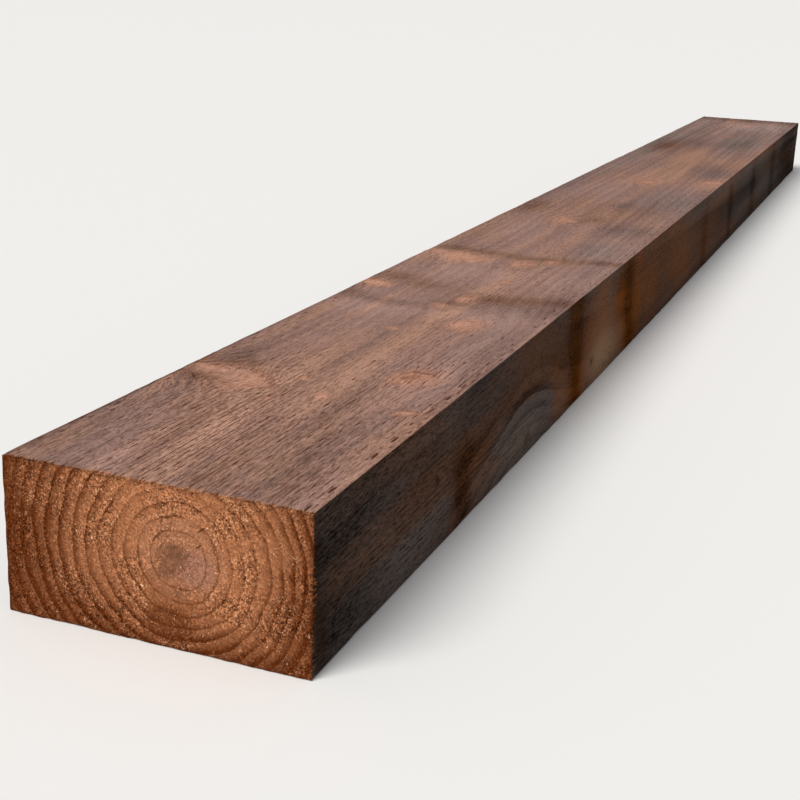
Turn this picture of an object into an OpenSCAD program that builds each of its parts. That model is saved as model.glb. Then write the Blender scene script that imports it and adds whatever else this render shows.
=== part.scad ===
// Railway sleeper of sawn, pressure-treated softwood, in one solid piece.
// The beam lies flat on its wide bed face, with its length along X, its width along Y
// and its thickness along Z. The origin is at the middle of the underside.
// The two ends are cross-cut square, and the four long edges have a lightly worn arris.
// All sizes are in millimetres.

/* [Sleeper] */
// Length from end cut to end cut
sleeper_length = 2400; // [600:50:4000]
// Width of the top and bottom bed faces
sleeper_width = 200; // [100:5:300]
// Thickness between the bed faces
sleeper_thickness = 100; // [75:5:250]

/* [Edges] */
// Radius of the worn arris along each long edge
arris_radius = 1.5; // [0.5:0.5:6]

/* [Hidden] */

// Sides in a full circle, fine enough for each arris to come out as a true round
arris_sides = 48;
// Half of the flat that is left between two arrises, across each face
half_bed = sleeper_width / 2 - arris_radius;
half_edge = sleeper_thickness / 2 - arris_radius;

// The sawn section, centred on the origin: a cross of two bands with a round in each corner
module sawn_section() {
    square([2 * half_bed, sleeper_thickness], center = true);
    square([sleeper_width, 2 * half_edge], center = true);
    for (across = [-1, 1], up = [-1, 1])
        translate([across * half_bed, up * half_edge])
            circle(r = arris_radius, $fn = arris_sides);
}

// The section carried along the whole length between the two end cuts
module sleeper() {
    color("saddlebrown")
        translate([0, 0, sleeper_thickness / 2])
            rotate([90, 0, 90])
                linear_extrude(height = sleeper_length, center = true)
                    sawn_section();
}

sleeper();
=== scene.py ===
import bpy
import numpy as np
from mathutils import Euler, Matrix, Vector


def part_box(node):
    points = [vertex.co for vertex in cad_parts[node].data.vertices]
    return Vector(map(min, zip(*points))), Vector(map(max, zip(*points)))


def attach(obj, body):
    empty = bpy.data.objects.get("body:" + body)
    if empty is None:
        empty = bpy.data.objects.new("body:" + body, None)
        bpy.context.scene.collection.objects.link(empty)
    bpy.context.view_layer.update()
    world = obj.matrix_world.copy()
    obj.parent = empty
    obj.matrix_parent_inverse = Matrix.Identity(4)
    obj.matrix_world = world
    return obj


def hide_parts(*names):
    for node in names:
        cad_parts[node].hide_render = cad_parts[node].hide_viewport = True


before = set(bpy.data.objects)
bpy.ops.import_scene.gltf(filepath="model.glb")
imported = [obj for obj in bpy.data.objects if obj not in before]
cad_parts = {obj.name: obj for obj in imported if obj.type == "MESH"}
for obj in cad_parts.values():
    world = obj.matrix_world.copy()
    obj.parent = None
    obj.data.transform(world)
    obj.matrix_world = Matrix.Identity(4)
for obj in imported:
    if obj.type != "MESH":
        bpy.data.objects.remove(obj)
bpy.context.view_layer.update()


# ---- The sleeper's skin -------------------------------------------------------------------
# A railway sleeper is one baulk of softwood, sawn square from the middle of a log and cross-cut
# at both ends. Its skin is a grid of lines round the box, closer together where the shape is
# busy: at the arrises, at the two cuts and where the branches of the tree come through.
MM = 0.001
low, high = (np.array(corner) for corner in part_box("sleeper"))
length, width, thickness = high - low

faces_along = 318
faces_across = 94
faces_up = 48
whorls = low[0] + np.array([205, 265, 425, 500, 612, 735, 1010, 1240, 1375, 1620, 1850, 2140]) * MM
whorl_reach = 38 * MM


def spaced_lines(start, end, count, crowding):
    """count + 1 places from start to end: the running total of crowding is cut into equal shares,
    so that the lines stand closer where crowding is larger."""
    fine = np.linspace(start, end, 6001)
    share = crowding(fine)
    total = np.concatenate([[0], np.cumsum(share[1:] + share[:-1])])
    return np.interp(np.linspace(0, total[-1], count + 1), total, fine)


def near_ends(place, start, end, reach):
    """1 at start and at end, falling off as exp(-distance / reach)."""
    return np.exp((start - place) / reach) + np.exp((place - end) / reach)


def crowding_along(x):
    """Even, with a hump at each whorl of branches and a steep rise at the two cuts."""
    humps = np.exp(-((x[:, None] - whorls) / whorl_reach) ** 2).sum(axis=1)
    return 1 + 0.9 * humps + 7 * near_ends(x, low[0], high[0], 2.5 * MM)


lines = [
    spaced_lines(low[0], high[0], faces_along, crowding_along),
    spaced_lines(low[1], high[1], faces_across, lambda y: 1 + 3 * near_ends(y, low[1], high[1], 1.6 * MM)),
    spaced_lines(low[2], high[2], faces_up, lambda z: 1 + 3 * near_ends(z, low[2], high[2], 1.6 * MM)),
]
steps = np.stack(np.meshgrid(*[np.arange(len(line)) for line in lines], indexing="ij"), axis=-1)
last = np.array([len(line) - 1 for line in lines])
on_skin = ((steps == 0) | (steps == last)).any(axis=-1)
number = (np.cumsum(on_skin) - 1).reshape(on_skin.shape)
square = np.stack([lines[axis][steps[on_skin][:, axis]] for axis in range(3)], axis=1)


def side_faces(axis, at_high):
    """The four-sided faces on one side of the grid, each wound so that it looks outwards."""
    grid = number.take(-1 if at_high else 0, axis=axis)
    quads = np.stack([grid[:-1, :-1], grid[1:, :-1], grid[1:, 1:], grid[:-1, 1:]], axis=-1)
    quads = quads.reshape(-1, 4)
    return quads if at_high != (axis == 1) else quads[:, ::-1]


# Two beds, two edges and two end cuts, in the order that the colour map lays them out
sides = {
    "upper_bed": side_faces(2, True),
    "lower_bed": side_faces(2, False),
    "front_edge": side_faces(1, False),
    "back_edge": side_faces(1, True),
    "left_cut": side_faces(0, False),
    "right_cut": side_faces(0, True),
}
quads = np.concatenate(list(sides.values()))


# ---- The tree ----------------------------------------------------------------------------
# The pith runs inside the beam from cut to cut, so both cuts show the middle of the tree and
# all four long faces are cut across rings that bend round the branches.
pith_left = np.array([-19.0, 57.0]) * MM
pith_right = np.array([-6.0, 46.0]) * MM
ring_width = 7.5 * MM
first_ring = 17.5 * MM
widest_heading = np.radians(-12)
uneven_growth = 0.075

# A branch leans along the beam by branch_lean of its length, and bends the grain aside by
# grain_push of the distance between them. In parts of its radius: how far the resin and the bent
# rings reach round it, how far the rings bulge, how far the grain bends, and a place out of reach.
branch_lean = 0.35
grain_push = 0.5
bend_reach = 1.9
ring_bulge = 0.8
push_reach = 1.8
far_off = 9.0

# About 0.4 m from the left cut the rings to the front of the pith bend as if the pith ran higher,
# so the front edge was sawn across them as a nest of arches, which grows faint over arch_fade.
# The flank is where the bend sets in, as distances to the front of the pith.
arch_middle = 406 * MM
arch_reach = 118 * MM
arch_lift = 42 * MM
arch_flank = np.array([30, 70]) * MM
arch_fade = np.array([440, 520]) * MM

# Each knot: place along from the left cut, face, place across the face from the front arris or
# up from the lower bed, and radius where it comes out, in millimetres; then how dark it is, 0 to 1
knots = [
    (211, "top", 186, 10, 0.05),
    (205, "top", 166, 17, 0.05),
    (200, "top", 146, 19, 0.05),
    (167, "top", 113, 4, 0.10),
    (187, "top", 84, 6, 0.10),
    (219, "top", 111, 5, 0.05),
    (256, "top", 47, 14, 0.75),
    (179, "top", 20, 6, 0.20),
    (379, "top", 109, 6, 0.10),
    (416, "top", 63, 14, 0.10),
    (471, "top", 102, 9, 0.10),
    (507, "top", 91, 10, 0.10),
    (528, "top", 188, 10, 0.05),
    (590, "top", 80, 5, 0.20),
    (697, "top", 182, 9, 0.05),
    (681, "top", 146, 15, 0.05),
    (680, "top", 92, 13, 0.05),
    (702, "top", 66, 10, 0.05),
    (950, "top", 116, 15, 0.05),
    (1328, "top", 99, 15, 0.05),
    (1376, "top", 18, 9, 0.05),
    (2015, "top", 88, 10, 0.20),
    (2243, "top", 86, 9, 0.20),
    (193, "front", 49, 6, 0.90),
    (408, "front", 13, 8, 0.90),
    (622, "front", 26, 8, 0.90),
    (240, "back", 60, 11, 0.40),
    (520, "back", 45, 13, 0.60),
    (730, "back", 70, 9, 0.30),
    (1010, "back", 40, 14, 0.50),
    (1380, "back", 62, 12, 0.40),
    (1630, "back", 35, 9, 0.60),
    (1860, "back", 66, 13, 0.40),
    (2130, "back", 50, 10, 0.50),
    (230, "bottom", 70, 13, 0.50),
    (505, "bottom", 130, 15, 0.30),
    (540, "bottom", 50, 9, 0.80),
    (740, "bottom", 100, 14, 0.40),
    (1000, "bottom", 60, 12, 0.60),
    (1235, "bottom", 120, 15, 0.30),
    (1385, "bottom", 40, 10, 0.70),
    (1615, "bottom", 110, 14, 0.40),
    (1845, "bottom", 70, 11, 0.60),
    (2145, "bottom", 130, 13, 0.40),
]


def smooth_step(edge_low, edge_high, value):
    """0 below edge_low, 1 above edge_high, and the cubic 3t^2 - 2t^3 between."""
    share = np.clip((value - edge_low) / (edge_high - edge_low), 0, 1)
    return share * share * (3 - 2 * share)


def noise(points, cell, seed):
    """Smooth noise from -1 to 1. Space is cut into boxes of the size cell, each corner has a number
    hashed from its place by large odd factors that stir its bits, and a point takes the eased blend
    of the eight corners round it."""
    scaled = points / np.array(cell) + 512
    corner = np.floor(scaled).astype(np.int64)
    share = scaled - corner
    share = share * share * (3 - 2 * share)
    total = np.zeros(len(points))
    for step in np.ndindex(2, 2, 2):
        mixed = (corner + step) @ np.array([73856093, 19349663, 83492791]) + seed * 2971215073
        mixed = (mixed ^ (mixed >> 15)) * 2246822519 & 0xFFFFFFFF
        mixed = (mixed ^ (mixed >> 13)) * 3266489917 & 0xFFFFFFFF
        value = (mixed ^ (mixed >> 16)) / 0x7FFFFFFF - 1
        weight = np.where(step, share, 1 - share).prod(axis=1)
        total += weight * value
    return total


def pith_at(x):
    """Y and Z of the pith: half a cosine wave from its place at the left cut to that at the right."""
    share = (1 - np.cos(np.pi * (x - low[0]) / length)) / 2
    return pith_left + np.multiply.outer(share, pith_right - pith_left)


def knot_place(along, face, across):
    """Where a knot comes out of the skin, as X, Y and Z."""
    x = low[0] + along * MM
    if face in ("top", "bottom"):
        return np.array([x, low[1] + across * MM, high[2] if face == "top" else low[2]])
    return np.array([x, low[1] if face == "front" else high[1], low[2] + across * MM])


def tree_fields(points):
    """What the tree gives each point: its count of growth rings, how far it is from the nearest
    knot, its place in that knot and how dark the knot is, the share of resin round the knots, how
    far the grain is pushed aside in Y and in Z, and how clearly the arches show. Lengths in a knot
    are parts of its radius. A branch is a cone that starts at the pith and leans along the beam."""
    from_pith = points[:, 1:] - pith_at(points[:, 0])
    from_left = points[:, 0] - low[0]
    flank = smooth_step(*arch_flank, -from_pith[:, 0])
    arched = flank * np.exp(-(((from_left - arch_middle) / arch_reach) ** 2))
    lifted = from_pith[:, 1] - arch_lift * arched
    arched *= smooth_step(-8 * MM, 14 * MM, -from_pith[:, 1])
    arched *= 1 - 0.75 * smooth_step(*arch_fade, from_left)
    radius = np.hypot(from_pith[:, 0], lifted)
    heading = np.arctan2(lifted, from_pith[:, 0])
    growth_radius = radius / (1 + uneven_growth * (1 + np.cos(heading - widest_heading)))
    growth_radius += 1.3 * MM * noise(points, (0.35, 0.03, 0.03), 1)
    growth_radius += 2.4 * MM * noise(points, (0.60, 0.09, 0.09), 2)
    nearest = np.full(len(points), far_off)
    in_knot = np.full((len(points), 3), far_off)
    resin = np.zeros(len(points))
    aside = np.zeros((len(points), 2))
    for along, face, across, knot_radius, darkness in knots:
        out = knot_place(along, face, across)
        axis = out[1:] - pith_at(out[0])
        reach = np.hypot(*axis)
        axis = axis / reach
        up_branch = from_pith @ axis
        sideways = from_pith[:, 0] * axis[1] - from_pith[:, 1] * axis[0]
        down_trunk = points[:, 0] - out[0] - branch_lean * (up_branch - reach)
        cone = knot_radius * MM * np.maximum(up_branch, 1 * MM) / reach
        dark = np.full(len(points), darkness)
        place = np.column_stack([down_trunk / cone, sideways / cone * 1.5, dark])
        ratio = np.where(up_branch > 0, np.hypot(place[:, 0], place[:, 1]), far_off)
        in_knot = np.where((ratio < nearest)[:, None], place, in_knot)
        nearest = np.minimum(nearest, ratio)
        bend = np.exp(-((ratio / bend_reach) ** 2))
        resin = np.maximum(resin, bend)
        growth_radius -= ring_bulge * cone * bend
        push = -grain_push * np.exp(-((ratio / push_reach) ** 2))
        for column, part in ((0, axis[1]), (1, -axis[0])):
            if abs(part) > 0.3:
                aside[:, column] += push * sideways / part
    rings = (growth_radius - first_ring) / ring_width + 2
    return rings, nearest, in_knot, resin, aside, arched


# ---- Wear and relief -----------------------------------------------------------------------
# The saw left the faces a little wavy, the hard late rings stand proud, and handling has rounded
# and nicked the arrises. Every mark cuts inwards, so the beam keeps its sawn size.
arris = np.array([0.6, 1.2, 1.2]) * MM
arris_reach = 2.6 * MM

# How deep each mark goes: on the long faces, on the cuts, along the arrises, and the least of all
wave_depth = 0.22 * MM
early_wood_depth = 0.20 * MM
split_depth = 0.16 * MM
knot_height = 0.10 * MM
cut_depth = 0.30 * MM
cut_tear_depth = 0.20 * MM
cut_early_wood_depth = 0.16 * MM
arris_depth = 0.12 * MM
nick_depth = 0.60 * MM
arris_tear_depth = 0.20 * MM
least_depth = 0.02 * MM

inner = np.clip(square, low + arris, high - arris)
outward = (square - inner) / arris
outward /= np.linalg.norm(outward, axis=1, keepdims=True)
skin = inner + arris * outward
outward = outward / arris
outward /= np.linalg.norm(outward, axis=1, keepdims=True)
cut_share, edge_share, bed_share = (outward**2).T

rings, knot_ratio, in_knot, resin, aside, arched = tree_fields(skin)
knot = 1 - smooth_step(0.8, 1.15, knot_ratio)
ring_phase = rings % 1
late_wood = smooth_step(0.25, 0.85, ring_phase) * (1 - smooth_step(0.90, 1.0, ring_phase))
nearness = np.sort(np.minimum(skin - low, high - skin), axis=1)
arris_near = np.exp(-nearness[:, 1] / arris_reach)
saw_wave = noise(skin, (0.16, 0.05, 0.05), 3) + 0.5 * noise(skin, (0.045, 0.03, 0.03), 4)
nicks = smooth_step(0.30, 0.85, noise(skin, (0.016, 0.012, 0.012), 5))
splits = smooth_step(0.35, 0.9, noise(skin, (0.09, 0.007, 0.007), 6))
torn_fibre = noise(skin, (0.02, 0.0052, 0.0052), 7)
depth = (1 - cut_share) * (
    wave_depth * (1 + 0.5 * saw_wave)
    + early_wood_depth * (1 - late_wood)
    + split_depth * splits
    - knot_height * knot
)
torn_arris = noise(skin, (0.03, 0.005, 0.005), 8)
depth += cut_share * (cut_depth + cut_tear_depth * torn_fibre + cut_early_wood_depth * (1 - late_wood))
depth += arris_near * (arris_depth + nick_depth * nicks + arris_tear_depth * torn_arris)
skin = skin - outward * np.maximum(depth, least_depth)[:, None]

# Patches of stain, and some of painted shade, on the long faces: place along, face, place across,
# reach along and across in millimetres, then how much warmer, and how much paler or darker, the
# wood is there. On the two edges they lean towards the left cut as they rise, by patch_lean of
# their height.
stains_and_painted_shade = [
    # Front edge
    (5, "front", 50, 9, 90, -0.50, -0.90),
    (32, "front", 30, 46, 34, 0.00, -0.50),
    (34, "front", 60, 46, 60, -0.20, -0.10),
    (50, "front", 92, 60, 15, -0.20, -0.50),
    (55, "front", 62, 40, 22, 0.10, 0.00),
    (100, "front", 50, 60, 26, -0.40, 0.10),
    (150, "front", 12, 80, 22, -0.90, 1.15),
    (165, "front", 56, 120, 22, 0.35, 0.00),
    (180, "front", 90, 170, 18, -0.60, -0.10),
    (225, "front", 70, 34, 40, 0.00, 0.25),
    (247, "front", 24, 20, 30, 1.35, -1.45),
    (262, "front", 50, 16, 12, 0.80, -0.40),
    (280, "front", 36, 230, 18, -0.10, 0.30),
    (290, "front", 34, 34, 16, 0.60, -0.10),
    (300, "front", 42, 30, 10, 0.40, -0.40),
    (400, "front", 54, 90, 6, 0.20, -0.50),
    (400, "front", 14, 120, 26, -0.55, 1.45),
    (425, "front", 75, 50, 24, 0.50, 0.10),
    (500, "front", 44, 30, 34, 0.90, -0.10),
    (512, "front", 12, 30, 20, 0.30, 0.50),
    (558, "front", 50, 26, 90, 1.70, -1.10),
    (566, "front", 10, 26, 22, 0.90, -0.10),
    (603, "front", 58, 18, 26, 0.60, -0.10),
    (655, "front", 84, 56, 24, 0.65, 0.60),
    (662, "front", 46, 62, 34, 0.60, 0.55),
    (664, "front", 14, 76, 34, 0.40, 2.20),
    (726, "front", 66, 16, 30, 0.80, -0.25),
    (738, "front", 64, 22, 20, 0.90, 0.10),
    (740, "front", 15, 36, 30, 0.10, 0.50),
    (771, "front", 50, 27, 80, 1.70, -0.70),
    (798, "front", 10, 28, 22, 1.20, -0.35),
    (812, "front", 90, 26, 16, 0.90, 0.30),
    (816, "front", 44, 27, 36, 1.30, 0.25),
    (885, "front", 50, 50, 50, 0.90, 0.35),
    # From about 1 m on, the darker middle and foot of the front edge are partly painted shade
    (1020, "front", 40, 130, 50, 0.70, 0.35),
    (1050, "front", 92, 120, 20, 0.60, 0.05),
    (1100, "front", 25, 80, 36, 0.50, 0.20),
    (1252, "front", 30, 24, 46, 0.90, -0.55),
    (1270, "front", 25, 130, 30, 0.40, 0.50),
    (1420, "front", 62, 420, 17, 0.10, -0.30),
    (1476, "front", 50, 18, 60, 0.60, -0.70),
    (1650, "front", 92, 620, 20, -0.30, 1.20),
    (1700, "front", 8, 700, 26, -0.20, -0.10),
    (1727, "front", 45, 30, 70, 0.60, -0.60),
    (1800, "front", 50, 300, 80, 0.10, -0.15),
    (1850, "front", 30, 420, 32, -0.80, 0.50),
    (1990, "front", 50, 40, 80, 0.00, -0.50),
    (2200, "front", 50, 240, 80, 0.10, -0.45),
    (2250, "front", 45, 160, 70, 0.10, -0.30),
    # Upper bed
    (30, "top", 185, 60, 24, 0.10, -0.40),
    (90, "top", 116, 130, 38, 0.15, 0.42),
    (95, "top", 100, 80, 20, 0.10, 0.40),
    (100, "top", 40, 110, 50, -0.30, -0.15),
    (110, "top", 56, 120, 20, 0.00, -0.20),
    (140, "top", 182, 90, 18, 0.00, 0.15),
    # A thin dark line along the back arris
    (150, "top", 199, 150, 2, -0.50, -1.60),
    (160, "top", 12, 130, 16, 0.00, 0.20),
    (160, "top", 98, 260, 34, 0.35, 0.00),
    (160, "top", 20, 260, 30, -0.20, -0.10),
    (160, "top", 175, 260, 30, -0.20, 0.00),
    (180, "top", 132, 50, 24, 0.00, 0.30),
    (191, "top", 172, 7, 13, 0.90, -1.20),
    (210, "top", 100, 60, 40, 0.10, 0.25),
    (238, "top", 166, 9, 13, 0.50, -0.70),
    (245, "top", 25, 70, 26, 0.00, 0.35),
    (262, "top", 182, 30, 20, -0.10, -0.30),
    (300, "top", 40, 70, 60, -0.10, 0.10),
    (320, "top", 190, 300, 14, 0.00, -0.25),
    (445, "top", 100, 30, 140, 0.00, 0.35),
    (464, "top", 150, 11, 42, 0.00, -0.65),
    (480, "top", 172, 110, 26, 0.00, 0.28),
    (480, "top", 185, 13, 18, 0.00, -0.60),
    (484, "top", 92, 8, 16, 0.50, -0.60),
    (492, "top", 30, 24, 60, -0.20, -0.35),
    (500, "top", 100, 260, 200, -0.25, 0.00),
    (514, "top", 72, 14, 18, 0.70, -0.75),
    (520, "top", 48, 16, 22, 0.60, -0.65),
    (528, "top", 186, 7, 16, 0.60, 0.50),
    (530, "top", 70, 60, 80, 0.40, 0.00),
    (532, "top", 16, 15, 22, 0.60, -0.80),
    (540, "top", 140, 16, 18, 0.60, -0.60),
    (562, "top", 178, 18, 22, 1.00, -0.80),
    (610, "top", 100, 40, 120, 0.00, 0.30),
    (681, "top", 170, 30, 40, 0.60, 0.60),
    (706, "top", 98, 10, 20, 0.60, -0.50),
    (712, "top", 60, 12, 28, 0.60, -0.60),
    (714, "top", 128, 14, 34, 0.80, -0.55),
    (723, "top", 172, 12, 26, 0.80, -0.75),
    (724, "top", 14, 12, 32, 0.60, -0.85),
    (788, "top", 48, 50, 20, -0.70, -0.25),
    (820, "top", 22, 80, 24, -0.30, 0.30),
    (840, "top", 130, 90, 60, 0.10, 0.10),
    (915, "top", 40, 44, 34, -0.60, -0.45),
    (971, "top", 90, 24, 12, 0.80, -0.70),
    (1000, "top", 100, 500, 200, -0.30, 0.00),
    (1022, "top", 85, 110, 60, 0.70, -0.22),
    (1028, "top", 184, 40, 22, 0.60, -0.80),
    (1098, "top", 84, 30, 16, -0.50, -0.40),
    (1163, "top", 40, 120, 50, -0.70, -0.15),
    (1373, "top", 100, 80, 60, 0.60, 0.15),
    (1374, "top", 16, 60, 22, 0.80, 0.15),
    # The cool patches on the far upper bed bring in the grey wash, which is partly painted sheen
    (1464, "top", 28, 90, 36, -0.80, -0.50),
    (1500, "top", 190, 400, 24, -0.60, 0.00),
    (1600, "top", 90, 200, 50, 0.20, -0.20),
    (1620, "top", 60, 60, 60, 0.40, 0.05),
    (1700, "top", 190, 900, 28, 0.00, -0.30),
    (1800, "top", 162, 90, 26, 0.10, -0.95),
    (1880, "top", 130, 160, 26, 0.00, -0.35),
    (1900, "top", 50, 160, 60, -0.90, -0.40),
    (2050, "top", 190, 400, 60, -0.90, 0.00),
    (2200, "top", 40, 200, 90, -1.00, 0.00),
    (2240, "top", 80, 110, 90, 0.00, 0.60),
    (2360, "top", 100, 40, 140, 0.00, -0.55),
    # Back edge
    (420, "back", 60, 120, 40, 0.50, 0.50),
    (735, "back", 50, 45, 80, 1.20, -0.20),
    (1245, "back", 40, 42, 70, 1.00, -0.30),
    (1620, "back", 50, 90, 60, 0.90, -0.30),
    (1950, "back", 60, 180, 50, -0.60, 0.30),
    # Lower bed
    (520, "bottom", 100, 30, 140, 0.50, -0.50),
    (740, "bottom", 80, 40, 140, 0.70, -0.30),
    (1300, "bottom", 140, 160, 60, -0.60, 0.40),
    (1900, "bottom", 60, 160, 70, 0.50, 0.40),
]
patch_lean = 0.2
warmth = np.zeros(len(skin))
paleness = np.zeros(len(skin))
facing = {
    "top": bed_share * (outward[:, 2] > 0),
    "bottom": bed_share * (outward[:, 2] < 0),
    "front": edge_share * (outward[:, 1] < 0),
    "back": edge_share * (outward[:, 1] > 0),
}
for along, face, across, reach_along, reach_across, warmer, paler in stains_and_painted_shade:
    away = skin - knot_place(along, face, across)
    across_face = away[:, 1] if face in ("top", "bottom") else away[:, 2]
    along_face = away[:, 0] + patch_lean * edge_share * across_face
    fade = (along_face / (reach_along * MM)) ** 2 + (across_face / (reach_across * MM)) ** 2
    strength = np.exp(-fade) * facing[face]
    warmth += warmer * strength
    paleness += paler * strength


# ---- The mesh --------------------------------------------------------------------------------
# One closed skin. Each corner of a face keeps its place on the colour map: the four long faces
# are strips one above the other, and the two end cuts lie side by side over them.
sleeper_mesh = bpy.data.meshes.new("sleeper_timber")
sleeper_mesh.from_pydata(skin, [], quads)
sleeper_mesh.shade_smooth()

# Heights of the strips and the gap between them, in parts of the map
map_units = 1024
map_gap = 4 / map_units
strip_heights = {"upper_bed": 248, "lower_bed": 248, "front_edge": 126, "back_edge": 126}
across_axis = {"upper_bed": 1, "lower_bed": 1, "front_edge": 2, "back_edge": 2}
share_of_box = (skin - low) / (high - low)
map_places = []
strip_start = map_gap
for side, faces in sides.items():
    corners = share_of_box[faces.ravel()]
    if side in strip_heights:
        strip_height = strip_heights[side] / map_units
        flat = corners[:, [0, across_axis[side]]]
        map_places.append(flat * [1 - 2 * map_gap, strip_height] + [map_gap, strip_start])
        strip_start += strip_height + map_gap
    else:
        cut_size = [(1 - 3 * map_gap) / 2, 1 - strip_start - map_gap]
        cut_start = map_gap if side == "left_cut" else 2 * map_gap + cut_size[0]
        map_places.append(corners[:, 1:] * cut_size + [cut_start, strip_start])
colour_map = sleeper_mesh.uv_layers.new(name="OFBake")
colour_map.uv.foreach_set("vector", np.concatenate(map_places).astype(np.float32).ravel())


def keep_on_mesh(name, values):
    """Stores one number, or one vector, for each point of the mesh under this name."""
    values = np.asarray(values, np.float32)
    kind, field = ("FLOAT", "value") if values.ndim == 1 else ("FLOAT_VECTOR", "vector")
    sleeper_mesh.attributes.new(name, kind, "POINT").data.foreach_set(field, values.ravel())


cut_arris_reach = 2.2 * MM
from_cuts = np.minimum(skin[:, 0] - low[0], high[0] - skin[:, 0])
along_grain = skin.copy()
along_grain[:, 1] += aside[:, 0] * bed_share
along_grain[:, 2] += aside[:, 1] * edge_share
from_pith = skin[:, 1:] - pith_at(skin[:, 0])
keep_on_mesh("grain", along_grain)
keep_on_mesh("rings", rings)
keep_on_mesh("cut_share", cut_share)
keep_on_mesh("edge_share", edge_share)
keep_on_mesh("in_knot", in_knot)
keep_on_mesh("knot_near", 1 - smooth_step(1.45, 1.95, knot_ratio))
keep_on_mesh("resin", resin)
keep_on_mesh("arched", arched)
keep_on_mesh("warmth", warmth)
keep_on_mesh("paleness", paleness)
keep_on_mesh("arris_near", arris_near)
keep_on_mesh("near_cut", np.exp(-from_cuts / cut_arris_reach))
keep_on_mesh("from_pith", np.column_stack([np.zeros(len(skin)), from_pith]))

sleeper = bpy.data.objects.new("sleeper_timber", sleeper_mesh)
bpy.context.scene.collection.objects.link(sleeper)


# ---- The finish ------------------------------------------------------------------------------
# Brown pressure treatment over sawn softwood. The beds have weathered to a mauve brown, the edges
# are darker, partly by their stain and partly by painted shade, the fresh cuts are orange brown,
# and the incising rollers left rows of short slits.
class Wire:
    """One output of a shader node. Sums and products of wires and numbers add Math nodes."""

    def __init__(self, tree, output=None):
        self.tree = tree
        self.output = output

    def node(self, kind, settings, sockets, output=0):
        """Adds a shader node of this kind: first its settings, then its sockets, each given a value
        or joined to a wire."""
        made = self.tree.nodes.new("ShaderNode" + kind)
        for name, value in settings.items():
            setattr(made, name, value)
        for name, value in sockets.items():
            if isinstance(value, Wire):
                self.tree.links.new(value.output, made.inputs[name])
            else:
                made.inputs[name].default_value = value
        return Wire(self.tree, made.outputs[output])

    def maths(self, operation, *others):
        """This wire, and any other value that the operation takes, put through a Math node."""
        return self.node("Math", {"operation": operation}, dict(enumerate([self, *others])))

    def __add__(self, other):
        return self.maths("ADD", other)

    def __sub__(self, other):
        return self.maths("SUBTRACT", other)

    def __rsub__(self, other):
        return self.node("Math", {"operation": "SUBTRACT"}, {0: other, 1: self})

    def __mul__(self, other):
        return self.maths("MULTIPLY", other)

    __radd__ = __add__
    __rmul__ = __mul__

    def ramp(self, start, end):
        """0 where this wire is at start, 1 where it is at end, eased between and clamped outside."""
        settings = {"interpolation_type": "SMOOTHSTEP"}
        return self.node("MapRange", settings, {"Value": self, "From Min": start, "From Max": end})

    def blend(self, colour, other):
        """This wire's share of the other colour over the first."""
        return self.node("Mix", {"data_type": "RGBA"}, {0: self, 6: colour, 7: other}, output=2)

    def shaded(self, amount):
        """This colour with each of its parts multiplied by the same amount."""
        return self.node("VectorMath", {"operation": "SCALE"}, {0: self, "Scale": amount})

    def stretched(self, *scale):
        """This vector with each of its parts multiplied."""
        return self.node("VectorMath", {"operation": "MULTIPLY"}, {0: self, 1: scale})

    def grit(self, detail=2.0, roughness=0.5, swirl=0.0):
        """Noise, about 0.5 in the middle, whose cells are one unit of this vector."""
        amounts = {"Scale": 1.0, "Detail": detail, "Roughness": roughness, "Distortion": swirl}
        return self.node("TexNoise", {}, {"Vector": self} | amounts)

    def chance(self):
        """A number from 0 to 1 for each cell of space, where the cells are one unit of this vector."""
        cells = self.node("TexVoronoi", {}, {"Vector": self, "Scale": 1.0}, output="Color")
        return cells.parts()[0]

    def pick(self):
        """A number from 0 to 1 for each value of this wire."""
        return self.node("TexWhiteNoise", {"noise_dimensions": "1D"}, {"W": self})

    def parts(self):
        """The three parts of this vector."""
        split = self.node("SeparateXYZ", {}, {0: self}).output.node
        return [Wire(self.tree, output) for output in split.outputs]


finish = bpy.data.materials.new("treated_softwood_sawn")
finish.use_nodes = True
finish_nodes = finish.node_tree
shader = finish_nodes.nodes["Principled BSDF"]
bare = Wire(finish_nodes)


# From here on a name that was worked out for the points of the mesh, such as rings or resin, is
# a wire that stands for the same thing at every spot of the surface
def read(name, output="Fac"):
    """What the mesh keeps under this name, as a wire."""
    return bare.node("Attribute", {"attribute_name": name}, {}, output=output)


place = bare.node("TexCoord", {}, {}, output="Object")
grain = read("grain", "Vector")
place_x, place_y, place_z = place.parts()
grain_x, grain_y, grain_z = grain.parts()
wander = (place.stretched(22, 70, 70).grit(1.0) - 0.5) * 2.6 * MM
grain = bare.node("CombineXYZ", {}, {0: grain_x, 1: grain_y + wander, 2: grain_z + wander})
edge = read("edge_share").ramp(0.3, 0.7)
near_cut = read("near_cut")
arris_near = read("arris_near")

# Fibres: fine streaks at several widths, and bundles whose shade changes from one to the next
broad_streak = grain.stretched(2.5, 55, 55).grit(2.0)
fine_streak = grain.stretched(80, 620, 620).grit(3.0, 0.65)
bundle = grain.stretched(140, 800, 800).chance()
thin_bundle = grain.stretched(330, 1500, 1500).chance()
curl = grain.stretched(30, 520, 520).grit(2.0, 0.6, 1.6)
tear_amount = grain.stretched(9, 45, 45).grit(2.0)
groove_amount = grain.stretched(5, 18, 18).grit(2.0)

# The cut, with a ragged border where fibres were torn out along the arris
from_cut = length / 2 - place_x.maths("ABSOLUTE")
teeth = thin_bundle * 0.5 + bundle * 0.5 + (tear_amount - 0.5) * 0.8
bitten = 1 - (from_cut - (teeth - 0.35) * 8.0 * MM).ramp(-0.4 * MM, 0.4 * MM)
sawn_cut = read("cut_share").ramp(0.25, 0.60)
cut = sawn_cut + bitten * (1 - sawn_cut)
long_face = 1 - cut

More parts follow.
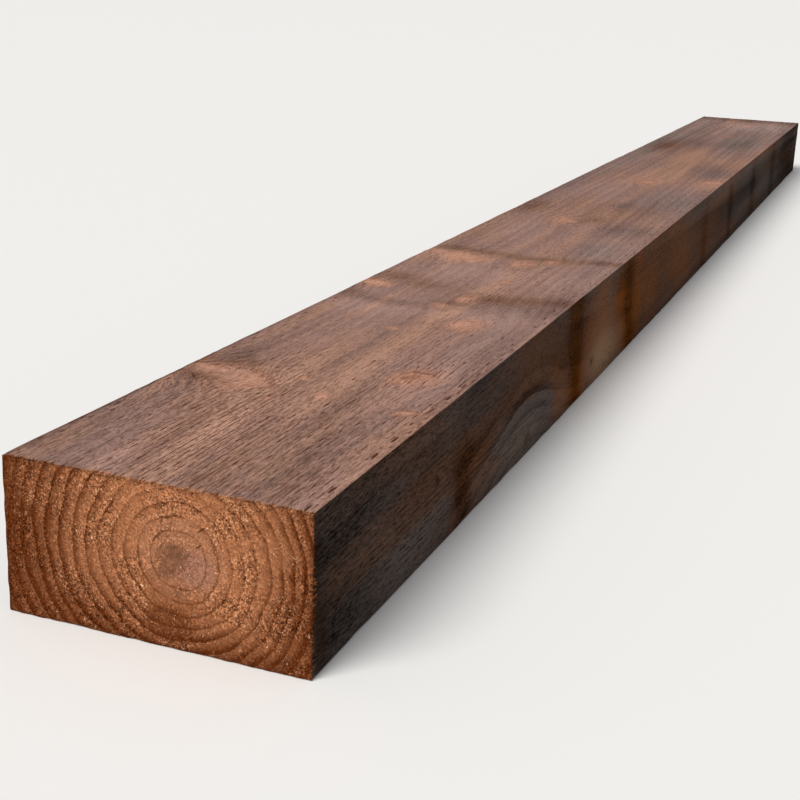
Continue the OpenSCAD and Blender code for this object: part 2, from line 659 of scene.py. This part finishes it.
# Growth rings: pale early wood darkens towards the late wood and stops sharply at the next ring
ring_wobble = (grain.stretched(4, 45, 45).grit(1.0) - 0.5) * 0.70
ring_fuzz = (grain.stretched(40, 500, 500).grit(2.0, 0.6) - 0.5) * 0.30
rings_here = read("rings") + ring_wobble + ring_fuzz * (0.2 + cut * 0.8)
ring_place = rings_here.maths("FRACT")
late = ring_place.ramp(0.25, 0.90) * (1 - ring_place.ramp(0.94, 1.0))
ring_line = ring_place.ramp(0.76, 0.91) * (1 - ring_place.ramp(0.95, 1.0))
ring_number = rings_here.maths("FLOOR")
ring_chance = ring_number.pick()

# Incising: rows along the face, each a broken line of fine marks, with a deeper slit where a tooth
# of the roller went in; every other row is shifted by half the slits' distance. The two spreads
# only keep the chances of one row apart from those of the next.
row_pitch = 4.3 * MM
slit_pitch = 31 * MM
slit_length = 9 * MM
slit_width = 1.2 * MM
slit_spread = 57.31
dash_spread = 5.37
dashes_per_metre = 95
across = place_y + edge * (place_z - place_y)
row_drift = place.stretched(3, 9, 9).grit(1.0) - 0.5
row_shake = place.stretched(9, 110, 110).grit(1.0) - 0.5
row = across * (1 / row_pitch) + (row_drift + row_shake * 0.9)
row_number = row.maths("FLOOR")
row_chance = row_number.pick()
slit_run = place_x * (1 / slit_pitch) + row_number * 0.5 + row_chance * 0.22
slit_number = slit_run.maths("FLOOR")
slit_chance = (slit_number + row_number * slit_spread).pick()
outer_row = place_y.maths("ABSOLUTE").ramp(width / 2 - 13 * MM, width / 2 - 8 * MM) * (1 - edge)
off_along = (slit_run.maths("FRACT") - 0.5) * (slit_pitch / slit_length * 2)
off_across = (row.maths("FRACT") - 0.5 + (row_chance - 0.5) * 0.3) * (row_pitch / slit_width * 2)
off_across = off_across + (fine_streak - 0.5) * 1.6
off_across = off_across.maths("ABSOLUTE") * (1 - outer_row * 0.45)
plain_face = long_face * (1 - arris_near * 0.9)
end_wear = 1 - from_cut.ramp(0.12, 0.42)
slit_bite = slit_chance + (groove_amount - 0.5) * 1.2 + outer_row * 0.3 + end_wear * 0.1
slit_depth = slit_bite.ramp(0.70, 1.05) * 0.9 + 0.1
slit = (1 - off_along * off_along - off_across).ramp(0.0, 0.7) * slit_depth * plain_face

# By the front arris a row of longer and wider slits stands alone
bold_length = 14 * MM
bold_width = 2.3 * MM
bold_inset = 6.5 * MM
bold_run = place_x * (1 / slit_pitch) + (broad_streak - 0.5) * 0.5
bold_chance = bold_run.maths("FLOOR").pick()
bold_along = (bold_run.maths("FRACT") - 0.5) * (slit_pitch / bold_length * 2)
bold_across = place_y + (width / 2 - bold_inset) + (bold_chance - 0.5) * bold_width
bold_across = (bold_across + (fine_streak - 0.5) * 2.0 * MM) * (2 / bold_width)
bold = (1 - bold_along * bold_along - bold_across * bold_across).ramp(0.0, 0.6)
bold = bold * bold_chance.ramp(0.15, 0.45)
bold = bold * long_face * (1 - edge) * (1 - from_cut.ramp(0.20, 0.40) * 0.8)
slit = slit.maths("MAXIMUM", bold)

# The fine marks along the rows
dash_run = place_x * dashes_per_metre
dash_place = bare.node("CombineXYZ", {}, {0: dash_run, 1: row_number * dash_spread, 2: 0.0})
dash = (dash_place.grit(2.0) + (groove_amount - 0.5) * 0.6).ramp(0.47, 0.60)
dash = dash * (1 - off_across * 0.9).ramp(0.0, 0.9) * plain_face

# Knots: the place in the nearest branch, with a ragged edge, rings of its own and a dark rim
knot_x, knot_y, knot_dark = read("in_knot", "Vector").parts()
knot_ratio = knot_x * knot_x + knot_y * knot_y
knot_ratio = knot_ratio.maths("SQRT")
knot_spots = grain.stretched(120, 220, 220).grit(2.0) - 0.5
knot_ratio = knot_ratio + (grain.stretched(50, 80, 80).grit(3.0) - 0.5) * 1.2 + knot_spots * 1.1
knot_near = read("knot_near")
knot = knot_near * (1 - (knot_ratio + (fine_streak - 0.5) * 0.9).ramp(0.10, 1.45))
knot_rings = (knot_ratio * 26.0).maths("SINE") * 0.5 + 0.5
knot_rim = knot_near * knot_ratio.ramp(0.62, 0.92) * (1 - knot_ratio.ramp(0.96, 1.25))
knot_heart = (knot_dark * 1.3 - 0.35 - knot_ratio + knot_spots * knot_dark * 2.0).ramp(-0.20, 0.30)
resin = read("resin")

# Colours of the long faces
warmth = read("warmth")
paleness = read("paleness")
arched = read("arched")
patchy = grain.stretched(4, 24, 24).grit(3.0)

bed_grey = (0.328, 0.198, 0.167, 1)
bed_brown = (0.380, 0.217, 0.157, 1)
bed_haze_and_sheen = (0.270, 0.205, 0.186, 1)
bed_stain = (0.130, 0.052, 0.030, 1)
bed_resin = (0.520, 0.255, 0.165, 1)
bed_groove = (0.090, 0.028, 0.016, 1)
# Edge colours: darker than the beds partly by stain, partly by painted shade, on both edges
edge_grey = (0.071, 0.055, 0.049, 1)
edge_brown = (0.096, 0.050, 0.032, 1)
edge_warm = (0.150, 0.048, 0.010, 1)
edge_pale = (0.300, 0.190, 0.112, 1)
edge_stain_and_shade = (0.032, 0.012, 0.003, 1)
edge_groove = (0.020, 0.012, 0.009, 1)
knot_pale = (0.490, 0.272, 0.200, 1)
knot_deep = (0.170, 0.060, 0.022, 1)

tone = (patchy * 0.6 + broad_streak * 0.4 + warmth * 0.22).ramp(0.38, 0.62)
bed_colour = tone.blend(bed_grey, bed_brown)
# A grey wash where the bed is cool: partly weathered grey, partly painted sheen of grazing light
bed_colour = ((warmth + (patchy - 0.5) * 1.2) * -1.0).ramp(0.1, 1.4).blend(bed_colour, bed_haze_and_sheen)
edge_colour = tone.blend(edge_grey, edge_brown)
edge_colour = (warmth * 0.42).ramp(0.05, 0.9).blend(edge_colour, edge_warm)
resin_share = (resin + (broad_streak - 0.5) * 0.6).ramp(0.25, 1.0) * (1 - edge)
bed_colour = (resin_share * 0.70).blend(bed_colour, bed_resin)
face_colour = edge.blend(bed_colour, edge_colour)
grip = 0.66 + end_wear * 0.64
shade = 1 + (broad_streak - 0.5) * (0.50 + end_wear * 0.35) + (fine_streak - 0.5) * 0.85 * grip
bundle_shade = (bundle - 0.5) * 0.22 + (thin_bundle - 0.5) * 0.26
shade = shade + (tear_amount - 0.5) * end_wear * 0.5 + bundle_shade * (1 + edge) * grip
patch_depth = paleness.maths("MAXIMUM", -0.45)
late_depth = 0.10 + edge * (arched * 0.60 + 0.06)
shade = shade + patch_depth * (0.42 + edge * 0.25) - (late - 0.4) * late_depth
face_colour = face_colour.shaded(shade.ramp(-0.1, 2.1) * 2.0)
# Where a patch is much darker the colour turns dark brown; on the far front edge partly painted shade
darkened = (paleness + (fine_streak - 0.5) * 0.8 + (patchy - 0.5) * 0.9) * -1.0
face_colour = (darkened.ramp(0.3, 1.5) * 0.75).blend(face_colour, edge.blend(bed_stain, edge_stain_and_shade))
face_colour = (paleness.ramp(1.0, 2.8) * edge * 0.9).blend(face_colour, edge_pale)

# Knots, bark round them, and the grooves and slits over all, whose dark is partly their own colour
# and partly painted shade in the recesses
knot_colour = knot_heart.blend(knot_pale, knot_deep)
# On the edges the knots darken with the face, which is partly painted shade
knot_shade = 1 + (knot_rings - 0.5) * 0.25 + (thin_bundle - 0.5) * 0.4
knot_shade = knot_shade + (fine_streak - 0.5) * 1.2 - edge * 0.85
face_colour = (knot * 0.56).blend(face_colour, knot_colour.shaded(knot_shade))
bark = knot_rim * (knot_x + (patchy - 0.5) * 2.0).ramp(0.3, 1.1)
face_colour = (bark * (0.25 + knot_dark * 0.4)).blend(face_colour, knot_deep)
groove_colour = edge.blend(bed_groove, edge_groove)
smooth_knot = 1 - knot.ramp(0.25, 0.9) * 0.8
groove = bundle * 0.5 + thin_bundle * 0.5 + (groove_amount - 0.5) * 0.5
groove = (groove + end_wear * 0.06 + resin * 0.12).ramp(0.66, 0.86)
face_colour = (groove * smooth_knot * 0.48 * grip).blend(face_colour, groove_colour)
dash_strength = 0.34 + end_wear * 0.40 + edge * 0.2
face_colour = (dash * smooth_knot * dash_strength).blend(face_colour, groove_colour)
face_colour = (slit * smooth_knot * 0.92).blend(face_colour, groove_colour)

# Colours of the cuts: ring bands, torn pale fibre ends and dark pits between them, the pits partly
# painted shade
cut_early = (0.475, 0.192, 0.088, 1)
cut_mid = (0.265, 0.092, 0.037, 1)
cut_late = (0.120, 0.029, 0.007, 1)
cut_deep = (0.127, 0.031, 0.0076, 1)
core_pale = (0.430, 0.195, 0.108, 1)
core_grey = (0.385, 0.178, 0.118, 1)
core_dark = (0.190, 0.080, 0.046, 1)
fibre_end = (0.760, 0.455, 0.255, 1)
fibre_glint = (1.000, 0.700, 0.440, 1)
pit_dark = (0.055, 0.017, 0.008, 1)

cut_patch = grain.stretched(9, 24, 24).grit(2.0)
off_middle = (grain_y + 15 * MM) * (1 / (85 * MM))
low_down = ((low[2] + high[2]) / 2 - grain_z).maths("MAXIMUM", 0.0) * (2 / thickness)
dusk = off_middle * off_middle * 0.80 + low_down * low_down * 0.85
dusk = (dusk + (cut_patch - 0.5) * 0.5).ramp(-0.05, 1.05)
pith_y, pith_z = read("from_pith", "Vector").parts()[1:]
torn = tear_amount.ramp(0.38, 0.60) * 0.60 + 0.40
cut_colour = (late * (cut_patch * 0.40 + dusk * 1.05)).blend(cut_early, cut_late)
cut_colour = (dusk * 0.74).blend(cut_colour, cut_deep)

# Clouds on the cut: place from the pith in Y and Z and reach in Y and Z, in millimetres, then
# the strength and the colour. The wood is less torn in those within beside_pith of it in Y.
beside_pith = 20
cut_patches = [
    (98, 30, 16, 14, 0.20, cut_early),
    (116, -4, 14, 30, 0.45, cut_deep),
    (66, -28, 24, 12, 0.15, cut_early),
    (30, 14, 16, 14, 0.30, cut_early),
    (-46, -34, 24, 14, 0.15, cut_early),
    (-52, 14, 24, 12, 0.45, cut_early),
    (-68, -22, 13, 17, 0.32, cut_deep),
    (14, -17, 15, 9, 0.55, cut_mid),
    (2, -29, 22, 9, 0.60, cut_mid),
    (0, 2, 28, 26, 0.55, core_pale),
    (-9, -4, 12, 12, 0.80, core_grey),
    (6, 0, 10, 9, 0.65, core_dark),
    (11, -10, 6, 4, 0.55, core_dark),
    (2, 4, 7, 4, 0.45, core_dark),
    (3, -22, 3, 3, 0.60, core_dark),
    (9, -41, 18, 11, 0.70, cut_deep),
]
for away_y, away_z, reach_y, reach_z, strength, patch_colour in cut_patches:
    patch_y = (pith_y - away_y * MM) * (1 / (reach_y * MM))
    patch_z = (pith_z - away_z * MM) * (1 / (reach_z * MM))
    patch_away = patch_y * patch_y + patch_z * patch_z
    cloud = 1 - (patch_away + (cut_patch - 0.5) * 1.6 + (curl - 0.5) * 1.6).ramp(0.4, 1.5)
    if abs(away_y) < beside_pith:
        torn = torn * (1 - cloud * 0.35)
    cut_colour = (cloud * strength).blend(cut_colour, patch_colour)
treated_rim = (grain_y + (tear_amount - 0.5) * 6 * MM).ramp(high[1] - 14 * MM, high[1] - 5 * MM)
cut_colour = (treated_rim * 0.5).blend(cut_colour, cut_deep)
line_strength = ring_chance * 0.40 + (tear_amount - 0.5) * 1.7 + dusk * 0.35 + 0.14
line_strength = line_strength + (1 - rings_here.ramp(2.0, 2.2)) * 0.3
line_strength = line_strength * rings_here.ramp(1.1, 1.3)
cut_colour = (ring_line * line_strength).blend(cut_colour, cut_late)

# Two short checks by the heart, dark partly by painted shade in the crack: place from the pith in Y
# and Z, slope, and reach along the check
check_width = 0.7 * MM
checks = [(-12.5 * MM, 20 * MM, 0.8, 4.0 * MM), (-11 * MM, 10 * MM, 0.7, 2.6 * MM)]
for check_y, check_z, slope, reach in checks:
    slant = (1 + slope**2) ** -0.5
    away_y = pith_y - check_y
    away_z = pith_z - check_z
    along_check = (away_z * slope - away_y) * (slant / reach)
    off_check = (away_y * slope + away_z + (curl - 0.5) * 1.5 * MM) * (slant / check_width)
    check = (1 - along_check * along_check - off_check * off_check).ramp(0.0, 0.6)
    cut_colour = (check * 0.8).blend(cut_colour, pit_dark)

# Torn and pitted fibre ends, the pits partly painted shade, and painted glints, highlights on a few
# fibre ends
cut_shade = (bundle - 0.5) * 0.65 + (thin_bundle - 0.5) * 0.60 + (curl - 0.5) * 1.9
cut_colour = cut_colour.shaded((1 + cut_shade * torn).ramp(-0.2, 2.2) * 2.2)
fibre = (curl + (bundle - 0.5) * 0.25 - late * 0.06).ramp(0.60, 0.74) * torn
pit = ((1 - curl) + (thin_bundle - 0.5) * 0.25).ramp(0.60, 0.74) * torn
cut_colour = (pit * 0.70).blend(cut_colour, pit_dark)
cut_colour = (fibre * (0.70 - dusk * 0.40)).blend(cut_colour, fibre_end)
# A few fibre ends carry a painted glint, a highlight put into the colour
glint_here = place.stretched(50, 140, 140).chance().ramp(0.88, 0.92)
glint = (curl + thin_bundle * 0.30).ramp(0.84, 0.92) * glint_here
cut_colour = (glint * 0.8).blend(cut_colour, fibre_glint)

colour = cut.blend(face_colour, cut_colour)
# Darker along the arrises round the two cuts
cut_arris_dark = (arris_near + (bundle - 0.5) * 1.4).ramp(0.80, 1.0) * near_cut.ramp(0.15, 0.5)
colour = (cut_arris_dark * 0.70).blend(colour, pit_dark)

# Relief too fine for the mesh, in metres
face_height = (fine_streak - 0.5) * 0.5 + (bundle - 0.5) * 0.15 - groove * 0.3 - dash * 0.25 - slit * 0.5
cut_height = (curl - 0.5) * 1.6 + (bundle - 0.5) * 0.5 - pit * 0.6
height = (face_height + cut * (cut_height - face_height)) * MM
bump = height.node("Bump", {}, {"Height": height, "Distance": 1.0, "Strength": 1.0})
roughness = 0.76 + (fine_streak - 0.5) * 0.25 + groove * 0.10 + cut * 0.08

finish_nodes.links.new(colour.output, shader.inputs["Base Color"])
finish_nodes.links.new(roughness.output, shader.inputs["Roughness"])
finish_nodes.links.new(bump.output, shader.inputs["Normal"])
shader.inputs["Specular IOR Level"].default_value = 0.0
sleeper_mesh.materials.append(finish)

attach(sleeper, "root")
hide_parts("sleeper")


# ---- The floor -------------------------------------------------------------------------------
# A plain pale studio floor, level with the lower bed that the sleeper lies on.
floor_reach = 110.0
floor_mesh = bpy.data.meshes.new("studio_floor")
floor_corners = np.array([[-1, -1, 0], [1, -1, 0], [1, 1, 0], [-1, 1, 0]]) * floor_reach
floor_mesh.from_pydata(floor_corners + [0, 0, low[2]], [], [[0, 1, 2, 3]])
floor = bpy.data.objects.new("studio_floor", floor_mesh)
bpy.context.scene.collection.objects.link(floor)

floor_paint = bpy.data.materials.new("pale_floor")
floor_paint.use_nodes = True
floor_shader = floor_paint.node_tree.nodes["Principled BSDF"]
floor_shader.inputs["Base Color"].default_value = (0.91, 0.91, 0.91, 1)
floor_shader.inputs["Roughness"].default_value = 0.9
floor_shader.inputs["Specular IOR Level"].default_value = 0.1
floor_mesh.materials.append(floor_paint)


# ---- The camera ------------------------------------------------------------------------------
# It stands a little over half a metre off the left cut, above the beam and to its front side,
# and looks down the length of the timber.
camera_data = bpy.data.cameras.new("camera")
camera_data.lens = 60.5
camera_data.sensor_width = 36.0
camera_data.clip_end = 400.0
camera = bpy.data.objects.new("camera", camera_data)
camera.location = Vector((low[0] - 0.595, -0.375, 0.3715))
camera_heading = np.radians(21.08)
camera_dip = np.radians(17.60)
camera_roll = np.radians(2.10)
level = np.cos(camera_dip)
aim = Vector((np.cos(camera_heading) * level, np.sin(camera_heading) * level, -np.sin(camera_dip)))
camera.rotation_mode = "QUATERNION"
camera.rotation_quaternion = aim.to_track_quat("-Z", "Y") @ Euler((0, 0, camera_roll)).to_quaternion()
bpy.context.scene.collection.objects.link(camera)
bpy.context.scene.camera = camera


# ---- The lights ------------------------------------------------------------------------------
# One broad soft light high on the left, over the left cut and the back edge, and an even cool
# glow from all round, so that the cut and the upper bed are lit and the front edge is in shade.
# Where the glow itself is looked at, past the floor, it shows about as pale as the floor.
key_data = bpy.data.lights.new("key_light", "SUN")
key_data.energy = 2.9
key_data.angle = np.radians(36)
key_data.color = (1.0, 0.965, 0.92)
key = bpy.data.objects.new("key_light", key_data)
key_from = Vector((-0.62, 0.22, 0.74))
key.rotation_mode = "QUATERNION"
key.rotation_quaternion = key_from.to_track_quat("Z", "Y")
bpy.context.scene.collection.objects.link(key)

world = bpy.data.worlds.new("studio_glow")
world.use_nodes = True
glow = world.node_tree.nodes["Background"]
glow.inputs["Color"].default_value = (0.95, 0.975, 1.0, 1)
glow_strength = 0.30
seen_strength = 0.88
looked_at = Wire(world.node_tree).node("LightPath", {}, {}, output="Is Camera Ray")
seen_glow = looked_at * (seen_strength - glow_strength) + glow_strength
world.node_tree.links.new(seen_glow.output, glow.inputs["Strength"])
bpy.context.scene.world = world
bpy.context.scene.view_settings.view_transform = "Standard"
